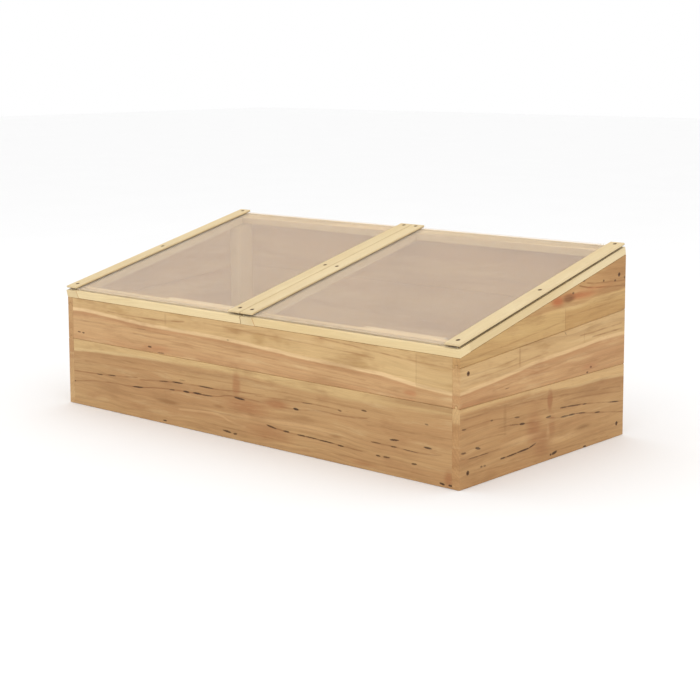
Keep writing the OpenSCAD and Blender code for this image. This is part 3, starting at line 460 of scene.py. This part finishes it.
def side_middle_features(m, x, y, z, col):
    # here x is the distance along the wall from its middle, positive to the back
    wob = m.noise(m.scaled((x, y, z), 16.0, 4.0, 34.0, 8.0, 0.0, 0.0), 1.0, 2.0)
    v = m.math("MULTIPLY_ADD", m.sub(wob, 0.5), 0.003, z)
    pts = [(-0.251, 0.1595), (-0.206, 0.163), (-0.146, 0.1678), (-0.085, 0.1739), (-0.039, 0.1797), (0.021, 0.1828), (0.066, 0.1849),
           (0.112, 0.1878), (0.159, 0.1915), (0.207, 0.1925), (0.251, 0.1928)]
    k, off = line_mask(m, x, v, pts, 0.15, 0.20, 0.0018, 0.0030, -0.6, 0.6)
    above = m.step(off, 0.000, 0.003)
    col = m.mix(m.mul(above, 0.62), col, lin(226, 190, 136))
    col = m.mix(m.mul(m.sub(1.0, above), 0.62), col, lin(212, 162, 114))
    shade = m.mul(m.step(off, -0.016, -0.004), m.step(off, -0.001, -0.004))
    col = m.mix(m.mul(shade, 0.50), col, lin(194, 142, 96))
    low = m.mul(m.step(z, 0.150, 0.138), m.step(x, -0.10, -0.22, 0.20, 0.60))
    col = m.mix(low, col, lin(180, 122, 78))
    col = m.mix(m.mul(k, 0.85), col, lin(244, 208, 156))
    cloud = m.noise(m.scaled((x, y, z), 9.0, 4.0, 46.0, 6.0, 0.0, 1.0), 1.0, 3.0, 0.6)
    col = m.mix(m.mul(m.mul(m.step(cloud, 0.50, 0.68), above), 0.50), col, lin(186, 146, 92))
    st = streaks(m, x, v, [([(0.10, 0.2065), (0.16, 0.2085), (0.24, 0.212)], 0.5), ([(0.14, 0.1995), (0.19, 0.2005), (0.24, 0.2025)], 0.7),
                           ([(-0.24, 0.176), (-0.12, 0.183), (0.0, 0.192)], 0.35), ([(-0.16, 0.150), (-0.05, 0.160), (0.06, 0.168)], 0.35),
                           ([(-0.24, 0.186), (-0.15, 0.189), (-0.09, 0.196)], 0.35)])
    col = m.mix(st, col, lin(146, 96, 52))
    col = m.mix(m.mul(marks(m, x, z, SIDE_MIDDLE), 0.85), col, lin(*BROWN))
    red = m.mul(spot(m, x, z, 0.13, 0.146, 0.022, 0.006, 0.8, wob), 0.8)
    col = m.mix(m.mul(red, 0.5), col, lin(184, 116, 76))
    f, _ = line_mask(m, z, x, [(0.18, 0.1138), (0.20, 0.1140), (0.22, 0.1138)], 0.10, 0.12, 0.0004, 0.0008, 0.194, 0.210)
    g, _ = line_mask(m, z, x, [(0.17, -0.0834), (0.19, -0.0838), (0.22, -0.0836)], -0.09, -0.07, 0.0012, 0.0030, 0.180, 0.212)
    col = m.mix(m.mul(m.maxi(f, m.mul(g, 0.8)), 0.45), col, lin(160, 116, 70))
    return corner_end(m, x, z, col, False)


def side_lower_features(m, x, y, z, col):
    wob = m.noise(m.scaled((x, y, z), 14.0, 4.0, 36.0, 2.0, 0.0, 9.0), 1.0, 2.0)
    v = m.math("MULTIPLY_ADD", m.sub(wob, 0.5), 0.003, z)
    band = [(-0.251, 0.1277), (-0.186, 0.128), (-0.105, 0.128), (-0.021, 0.1262), (0.032, 0.122), (0.091, 0.1185), (0.161, 0.118), (0.251, 0.1135)]
    k, off = line_mask(m, x, v, band, 0.09, 0.14, 0.0010, 0.0035, -0.6, 0.6)
    above = m.step(off, -0.004, 0.003)
    col = m.mix(m.mul(above, 0.80), col, lin(238, 202, 146))
    col = m.mix(m.mul(m.sub(1.0, above), 0.55), col, lin(202, 156, 106))
    col = m.mix(m.mul(m.mul(k, m.step(x, 0.0, 0.12)), 0.6), col, lin(244, 212, 158))
    dusk = m.mul(m.step(off, -0.022, -0.004), m.step(off, -0.002, -0.006))
    col = m.mix(m.mul(dusk, 0.45), col, lin(184, 142, 94))
    st = streaks(m, x, v, [
        ([(-0.002, 0.0771), (0.044, 0.0694), (0.085, 0.0678), (0.153, 0.0583), (0.251, 0.043)], 0.60),
        ([(0.042, 0.0866), (0.101, 0.0819), (0.124, 0.0797), (0.231, 0.0662), (0.251, 0.0640)], 0.60),
        ([(-0.136, 0.0306), (-0.091, 0.0314), (-0.055, 0.0329), (-0.034, 0.0378)], 0.60),
        ([(-0.247, 0.0532), (-0.224, 0.0481), (-0.173, 0.0476), (-0.137, 0.0482)], 0.45),
        ([(-0.239, 0.0991), (-0.166, 0.1011), (-0.096, 0.094), (-0.046, 0.0931), (-0.003, 0.0918)], 0.35),
        ([(-0.145, 0.084), (-0.111, 0.0833), (-0.069, 0.0781), (-0.037, 0.0765)], 0.45),
        ([(-0.24, 0.115), (-0.12, 0.116), (0.0, 0.111), (0.12, 0.103), (0.24, 0.093)], 0.35),
        ([(-0.24, 0.072), (-0.18, 0.074), (-0.12, 0.070)], 0.35),
        ([(0.05, 0.098), (0.14, 0.093), (0.24, 0.083)], 0.35),
        ([(-0.24, 0.022), (-0.10, 0.017), (0.05, 0.012), (0.2, 0.006)], 0.35)])
    col = m.mix(st, col, lin(142, 94, 52))
    red = m.mul(spot(m, x, z, 0.0085, 0.106, 0.0085, 0.020, 0.35, wob), 1.1)
    red = m.maxi(red, m.mul(spot(m, x, z, 0.014, 0.060, 0.010, 0.022, 0.6, wob), 0.6))
    red = m.maxi(red, m.mul(spot(m, x, z, -0.040, 0.066, 0.020, 0.026, 0.7, wob), 1.0))
    red = m.maxi(red, m.mul(spot(m, x, z, -0.015, 0.036, 0.022, 0.020, 0.7, wob), 0.8))
    col = m.mix(m.mul(red, 0.55), col, lin(170, 108, 66))
    olive = m.mul(spot(m, x, z, 0.116, 0.0395, 0.022, 0.0040, 0.7, wob), 1.0)
    olive = m.maxi(olive, m.mul(spot(m, x, z, -0.125, 0.098, 0.004, 0.022, 0.8, wob), 0.5))
    col = m.mix(m.mul(olive, 0.55), col, lin(140, 98, 56))
    pale = m.mul(spot(m, x, z, -0.078, 0.0530, 0.042, 0.0050, 0.8, wob), 1.0)
    pale = m.maxi(pale, m.mul(spot(m, x, z, 0.055, 0.0315, 0.042, 0.0055, 0.8, wob), 1.0))
    pale = m.maxi(pale, m.mul(spot(m, x, z, 0.003, 0.050, 0.004, 0.012, 0.8, wob), 0.6))
    col = m.mix(m.mul(pale, 0.50), col, lin(240, 202, 150))
    col = m.mix(m.mul(marks(m, x, z, SIDE_LOWER), 0.95), col, lin(64, 36, 18))
    return corner_end(m, x, z, col, True)


def side_upper_features(m, x, y, z, col):
    wob = m.noise(m.scaled((x, y, z), 14.0, 4.0, 36.0, 6.0, 0.0, 4.0), 1.0, 2.0)
    v = m.math("MULTIPLY_ADD", m.sub(wob, 0.5), 0.004, z)
    edge = [(-0.25, 0.262), (-0.006, 0.2591), (0.02, 0.2607), (0.078, 0.2606), (0.11, 0.2622), (0.156, 0.2682), (0.204, 0.2704), (0.251, 0.2746)]
    k, off = line_mask(m, x, v, edge, 0.25, 0.28, 0.0015, 0.003, -0.02, 0.6)
    above = m.step(off, -0.001, 0.004)
    col = m.mix(m.mul(m.sub(1.0, above), 0.55), col, lin(214, 176, 120))
    # the back part below the ridge is a deeper gold
    gold = m.mul(m.mul(m.sub(1.0, above), m.step(x, 0.050, 0.054)), m.step(z, 0.27, 0.245))
    col = m.mix(m.mul(gold, 0.45), col, lin(190, 142, 84))
    col = m.mix(m.mul(above, 0.60), col, lin(206, 158, 108))
    col = m.mix(m.mul(m.mul(above, m.step(x, 0.14, 0.22)), 0.45), col, lin(180, 130, 84))
    col = m.mix(m.mul(k, 0.65), col, lin(232, 194, 138))
    st = streaks(m, x, v, [([(0.095, 0.2972), (0.137, 0.2899), (0.175, 0.2861), (0.249, 0.2812)], 0.8),
                           ([(0.12, 0.2995), (0.17, 0.2945), (0.249, 0.2905)], 0.5), ([(-0.20, 0.214), (-0.08, 0.226), (0.05, 0.240)], 0.3),
                           ([(0.06, 0.246), (0.15, 0.252), (0.24, 0.256)], 0.35)])
    col = m.mix(st, col, lin(146, 94, 50))
    red = m.mul(spot(m, x, z, 0.030, 0.2765, 0.020, 0.0085, 0.6, wob), 1.0)
    red = m.maxi(red, m.mul(spot(m, x, z, 0.085, 0.2805, 0.060, 0.0060, 0.8, wob), 0.8))
    red = m.maxi(red, m.mul(spot(m, x, z, 0.130, 0.288, 0.050, 0.0050, 0.9, wob), 0.4))
    col = m.mix(m.mul(red, 0.80), col, lin(198, 102, 58))
    knot = spot(m, x, z, 0.062, 0.2775, 0.018, 0.0065, 0.6, wob)
    col = m.mix(m.mul(knot, 0.78), col, lin(116, 70, 34))
    col = m.mix(m.mul(marks(m, x, z, SIDE_UPPER), 0.9), col, lin(80, 46, 24))
    f, _ = line_mask(m, z, x, [(0.22, 0.0530), (0.25, 0.0528), (0.28, 0.0530)], 0.04, 0.06, 0.0004, 0.0008, 0.226, 0.262)
    col = m.mix(m.mul(f, 0.35), col, lin(150, 104, 62))
    return corner_end(m, x, z, col, False)


def left_end_features(m, x, y, z, col):
    return corner_end(m, x, z, col, False)


def lid_features(x0, upright):
    """Lines where the lid's parts meet: the slanted shoulder at the front rail's end, and the two lids' inner edges;
    and a painted shadow line along the battens' lower edge.
    """
    def f(m, x, y, z, col):
        X, Y = (y, x) if upright else (x, y)
        sh = m.math("MULTIPLY_ADD", z, -4.0 / 15.0, x0 + 0.0352)
        k = m.step(m.math("ABSOLUTE", m.sub(X, sh)), 0.0011, 0.0004)
        k = m.mul(k, m.mul(m.step(z, 0.0156, 0.0148), m.step(Y, 0.0315, 0.0300)))
        col = m.mix(m.mul(k, 0.75), col, lin(196, 130, 70))
        # painted shadow: the battens' lower edge is darkened to stand in for the shade in the gap where they sit on the
        # sheet
        batten_shadow_line = m.mul(m.step(z, 0.0185, 0.0190), m.step(z, 0.0204, 0.0200))
        col = m.mix(m.mul(batten_shadow_line, 0.80), col, lin(92, 60, 28))
        mid = m.step(m.math("ABSOLUTE", m.sub(X, 0.00025)), 0.0013, 0.0005)
        return m.mix(m.mul(mid, 0.60), col, lin(140, 96, 52))
    return f


H = math.pi / 2
SIDE = (0, 0, H)      # grain along Y: local x = +Y, local y = -X, local z = Z
WALLS = dict(pale=(222, 186, 132), deep=(196, 150, 102), streak=(168, 112, 70), ring=0.26, fibre=0.22, patch=0.30, mottle=0.42,
             tint=(0.84, 0.82, 0.79))
PINE = dict(pale=(238, 217, 172), deep=(228, 202, 152), streak=(214, 180, 126), ring=0.14, fibre=0.14, patch=0.14, mottle=0.10, flecks=0.0, rough=0.58,
            tint=(0.93, 0.93, 0.93))

mats = {}


def build_materials():
    mats["front_lower_board"] = wood("wall_front_lower", seed=1.0, ring_mm=6.0, flecks=0.15, pith=(-0.30, 0.10), features=front_lower_features, **dict(WALLS, tint=(0.81, 0.8, 0.76)))
    mats["front_upper_board"] = wood("wall_front_upper", seed=2.3, ring_mm=6.0, flecks=0.15, pith=(-0.31, 0.21), features=front_upper_features, **dict(WALLS, tint=(0.91, 0.92, 0.91)))
    mats["right_lower_board"] = wood("wall_right_lower", SIDE, seed=3.1, ring_mm=6.0, flecks=0.15, pith=(-0.55, 0.10), features=side_lower_features, **dict(WALLS, tint=(0.79, 0.74, 0.67)))
    mats["right_middle_board"] = wood("wall_right_middle", SIDE, seed=4.7, ring_mm=6.0, flecks=0.15, pith=(-0.56, 0.20), features=side_middle_features, **dict(WALLS, tint=(0.86, 0.835, 0.79)))
    mats["right_upper_board"] = wood("wall_right_upper", SIDE, seed=5.9, ring_mm=7.0, flecks=0.20, pith=(-0.57, 0.24), features=side_upper_features, **dict(WALLS, tint=(0.86, 0.83, 0.73)))
    mats["left_lower_board"] = wood("wall_left_lower", SIDE, seed=6.4, ring_mm=6.0, flecks=0.6, pith=(0.56, 0.09), knots=0.10, features=left_end_features, **WALLS)
    mats["left_middle_board"] = wood("wall_left_middle", SIDE, seed=7.7, ring_mm=7.0, flecks=0.5, pith=(0.56, 0.16), features=left_end_features, **WALLS)
    mats["left_upper_board"] = wood("wall_left_upper", SIDE, seed=8.2, ring_mm=6.0, flecks=0.5, pith=(0.57, 0.27), knots=0.12, features=left_end_features, **WALLS)
    mats["back_lower_board"] = wood("wall_back_lower", seed=9.6, ring_mm=6.0, flecks=0.6, pith=(0.31, 0.05), knots=0.10, **WALLS)
    mats["back_middle_board"] = wood("wall_back_middle", seed=11.1, ring_mm=7.0, flecks=0.6, pith=(0.31, 0.19), **WALLS)
    mats["back_upper_board"] = wood("wall_back_upper", seed=12.8, ring_mm=6.0, flecks=0.5, pith=(0.32, 0.30), knots=0.10, **WALLS)
    post = dict(PINE); post.update(pale=(236, 210, 160), deep=(226, 194, 140), ring=0.16)
    for i, n in enumerate(("front_left_post", "front_right_post", "back_left_post", "back_right_post")):
        mats[n] = wood("post_" + n, (0, -H, 0), seed=20.0 + i * 2.3, ring_mm=3.0, pith=(0.2, 0.02), **post)
    for i, side in enumerate(("left", "right")):
        for j, (part, rot) in enumerate((("lid_front_rail", (SLOPE, 0, 0)), ("lid_back_rail", (SLOPE, 0, 0)))):
            mats[f"{side}_{part}"] = wood(f"{side}_{part}", rot, FRONT, seed=30.0 + 5 * i + j, ring_mm=3.2, pith=(0.03 + 0.4 * j, -0.05),
                                           features=lid_features(-0.5 if i == 0 else 0.0005, False) if j == 0 else None,
                                           **dict(PINE, tint=(1.0, 0.99, 0.955)))
        for j, part in enumerate(("lid_outer_stile", "lid_inner_stile", "lid_outer_batten", "lid_inner_batten")):
            mats[f"{side}_{part}"] = wood(f"{side}_{part}", "slope", FRONT, seed=40.0 + 7 * i + 1.9 * j, ring_mm=3.2, pith=(-0.3 + 0.19 * j, -0.04),
                                          features=lid_features(-0.5 if i == 0 else 0.0005, True), knots=0.06, **PINE)
        mats[f"{side}_lid_dowels"] = wood(f"{side}_lid_dowels", (0, 0, 0), FRONT, seed=61.0 + i, ring_mm=1.5, **PINE)
        mats[f"{side}_prop_stick"] = wood(f"{side}_prop_stick", (SLOPE, 0, 0), FRONT, seed=70.0 + i, ring_mm=2.4, pith=(0.1, -0.03), **PINE)


_coords = Mat.coords


def coords(self, rot=(0, 0, 0), origin=(0, 0, 0)):
    """As before, and rot may be "slope": local x then runs up the lid's slope."""
    if rot != "slope":
        return _coords(self, rot, origin)
    v = _coords(self, (SLOPE, 0, 0), origin)
    x, y, z = self.split(v)
    return self.join(y, x, z)


Mat.coords = coords


def metal(name, rgb, rough, metallic=1.0, worn=None):
    m = Mat(name)
    v = m.coords()
    a = m.noise(v, 900.0, 3.0, 0.6)
    b = m.noise(v, 160.0, 2.0, 0.6)
    col = m.mix(m.step(b, 0.35, 0.75), lin(*rgb), lin(*[c * 0.72 for c in rgb]))
    if worn is not None:
        col = m.mix(m.mul(m.step(a, 0.58, 0.72), 0.6), col, lin(*worn))
    m.put(m.bsdf.inputs["Base Color"], col)
    m.bsdf.inputs["Metallic"].default_value = metallic
    m.put(m.bsdf.inputs["Roughness"], m.step(a, 0.2, 0.8, rough - 0.08, rough + 0.12, smooth=False))
    m.put(m.bsdf.inputs["Normal"], m.bump(m.add(a, b), 0.25, 0.00008))
    return m.mat


def sheet_material():
    m = Mat("twin_wall_sheet")
    v = m.coords()
    a = m.noise(v, 7.0, 2.0, 0.5)
    b = m.noise(v, 420.0, 2.0, 0.6)
    col = m.mix(a, lin(255, 240, 222), lin(248, 232, 213))
    m.put(m.bsdf.inputs["Base Color"], col)
    m.put(m.bsdf.inputs["Roughness"], m.step(a, 0.3, 0.7, 0.42, 0.46, smooth=False))
    m.bsdf.inputs["IOR"].default_value = 1.30
    m.bsdf.inputs["Alpha"].default_value = 0.118
    m.put(m.bsdf.inputs["Normal"], m.bump(b, 0.02, 0.00003))
    return m.mat


build_materials()
SCREW = metal("dark_screw_steel", (112, 78, 44), 0.52, 0.30, (134, 98, 60))
ZINC = metal("zinc_hinge_steel", (196, 196, 190), 0.34, 1.0, (150, 152, 152))
BRASS = metal("yellow_passivated_steel", (206, 176, 118), 0.40, 0.6, (186, 160, 110))
SHEET = sheet_material()


def sheet_edge_material():
    """The cut and sealed ends of the sheet: the same plastic, paler and less clear."""
    m = Mat("twin_wall_sheet_edge")
    v = m.coords()
    b = m.noise(v, 260.0, 2.0, 0.6)
    m.put(m.bsdf.inputs["Base Color"], m.mix(b, lin(246, 234, 208), lin(236, 222, 194)))
    m.put(m.bsdf.inputs["Roughness"], m.step(b, 0.3, 0.7, 0.45, 0.55, smooth=False))
    m.bsdf.inputs["Alpha"].default_value = 0.55
    m.put(m.bsdf.inputs["Normal"], m.bump(b, 0.10, 0.00005))
    return m.mat


EDGE = sheet_edge_material()


# ---------------------------------------------------------------------------
# pieces: each wooden node becomes a mesh of its own with rounded edges
# ---------------------------------------------------------------------------
def rounded(node, offset, segments, shortest):
    """A new mesh from a CAD node's shape: faces joined into clean flat ones, long edges rounded."""
    src = NODES[node]
    bm = bmesh.new()
    bm.from_mesh(src.data)
    bmesh.ops.remove_doubles(bm, verts=bm.verts, dist=2e-6)
    bmesh.ops.dissolve_limit(bm, angle_limit=math.radians(0.6), verts=bm.verts, edges=bm.edges, use_dissolve_boundaries=False)
    for f in bm.faces:
        f.smooth = f.calc_area() < 1e-4 and any(len(e.link_faces) == 2 and 0.01 < e.calc_face_angle(0.0) < 0.55 for e in f.edges)
    sharp = [e for e in bm.edges if len(e.link_faces) == 2 and e.calc_length() > shortest and e.calc_face_angle(0.0) > math.radians(25)]
    if offset > 0 and sharp:
        made_faces = bmesh.ops.bevel(bm, geom=sharp, offset=offset, offset_type="OFFSET", segments=segments, profile=0.5, affect="EDGES",
                                     clamp_overlap=True, loop_slide=True)["faces"]
        for f in made_faces:
            f.smooth = f.calc_area() / max(e.calc_length() for e in f.edges) < 0.0008
    # a rounded corner never reaches past the piece's own box
    lo = [min(v.co[i] for v in src.data.vertices) for i in range(3)]
    hi = [max(v.co[i] for v in src.data.vertices) for i in range(3)]
    for v in bm.verts:
        v.co = [min(max(v.co[i], lo[i]), hi[i]) for i in range(3)]
    bmesh.ops.remove_doubles(bm, verts=bm.verts, dist=1e-6)
    bmesh.ops.recalc_face_normals(bm, faces=bm.faces)
    me = bpy.data.meshes.new(node + "_wood")
    bm.faces.index_update()
    curved = [f.smooth for f in bm.faces]
    bm.to_mesh(me)
    bm.free()
    ob = bpy.data.objects.new(node + "_piece", me)
    bpy.context.scene.collection.objects.link(ob)
    me.set_sharp_from_angle(angle=math.radians(32))
    me.polygons.foreach_set("use_smooth", curved)
    me.update()
    return ob


made = []
for node in sorted(NODES):
    slot = SLOT[node]
    if slot in ("wall_wood", "post_wood", "lid_wood", "batten_wood", "prop_wood"):
        big = slot in ("wall_wood", "post_wood")
        ob = rounded(node, 0.0007 if big else 0.0005, 3, 0.0035)
        ob.data.materials.append(mats[node])
        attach(ob, BODY[node])
        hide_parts(node)
        made.append(ob)
    else:
        mat = {"screw_steel": SCREW, "hinge_steel": ZINC, "sheet": SHEET}.get(slot) or mats[node]
        if node in ("front_panel_screws", "back_panel_screws"):
            mat = BRASS
        o = NODES[node]
        if not o.material_slots:
            o.data.materials.append(mat)
        for s in o.material_slots:
            s.material = mat
        if slot == "sheet":
            up_slope = Vector((0.0, math.cos(SLOPE), math.sin(SLOPE)))
            o.data.materials.append(EDGE)
            for p in o.data.polygons:
                if abs(p.normal.dot(up_slope)) > 0.9:
                    p.material_index = len(o.data.materials) - 1


# ---------------------------------------------------------------------------
# stage, light, camera
# ---------------------------------------------------------------------------
def stage():
    me = bpy.data.meshes.new("floor")
    bm = bmesh.new()
    bmesh.ops.create_grid(bm, x_segments=8, y_segments=8, size=14.0)
    bm.to_mesh(me)
    bm.free()
    ob = bpy.data.objects.new("floor", me)
    bpy.context.scene.collection.objects.link(ob)
    ob.location = (0, 0, -0.0005)
    m = Mat("pale_floor")
    n = m.noise(m.coords(), 3.0, 2.0)
    m.put(m.bsdf.inputs["Base Color"], m.mix(n, (0.955, 0.955, 0.955, 1), (0.975, 0.975, 0.975, 1)))
    m.bsdf.inputs["Roughness"].default_value = 0.9
    m.bsdf.inputs["Specular IOR Level"].default_value = 0.1
    me.materials.append(m.mat)


def area(name, loc, target, size, power, color=(1, 1, 1)):
    L = bpy.data.lights.new(name, "AREA")
    L.shape = "RECTANGLE"
    L.size, L.size_y = size
    L.energy = power
    L.color = color
    ob = bpy.data.objects.new(name, L)
    bpy.context.scene.collection.objects.link(ob)
    ob.location = loc
    ob.rotation_euler = (Vector(target) - Vector(loc)).to_track_quat("-Z", "Y").to_euler()
    return ob


stage()
world = bpy.data.worlds.new("studio")
bpy.context.scene.world = world
world.use_nodes = True
bg = world.node_tree.nodes["Background"]
bg.inputs[0].default_value = (1.0, 1.0, 1.0, 1.0)
bg.inputs[1].default_value = 1.0
area("key", (0.6, -2.6, 2.4), (0, 0, 0.15), (2.6, 2.0), 9.0)
area("right_fill", (3.0, -0.4, 1.6), (0, 0, 0.15), (2.2, 1.8), 4.0)
area("top", (-0.4, 0.3, 3.0), (0, 0, 0.2), (3.0, 3.0), 8.0)

cam = bpy.data.cameras.new("camera")
cam.sensor_fit = "HORIZONTAL"
cam.sensor_width = 36.0
cam.lens = 78.717
cam.shift_x = 0.0
cam.shift_y = -100.0 / 700.0
cam.clip_start = 0.05
cam.clip_end = 60.0
cob = bpy.data.objects.new("camera", cam)
bpy.context.scene.collection.objects.link(cob)
az, el, roll = math.radians(41.462), math.radians(7.087), math.radians(-0.167)
back = Vector((math.sin(az) * math.cos(el), -math.cos(az) * math.cos(el), math.sin(el)))
right = (-back).cross(Vector((0, 0, 1))).normalized()
up = right.cross(-back)
r2 = right * math.cos(roll) + up * math.sin(roll)
u2 = -right * math.sin(roll) + up * math.cos(roll)
rot = Matrix((r2, u2, back)).transposed().to_4x4()
cob.matrix_world = Matrix.Translation((1.9658, -2.1746, 0.69399)) @ rot
bpy.context.scene.camera = cob
bpy.context.scene.view_settings.view_transform = "Standard"
bpy.context.scene.view_settings.look = "None"
bpy.context.scene.view_settings.exposure = 0.0
# a ray into the box and out again crosses up to a dozen faces of twin-wall sheet
bpy.context.scene.cycles.transparent_max_bounces = 48
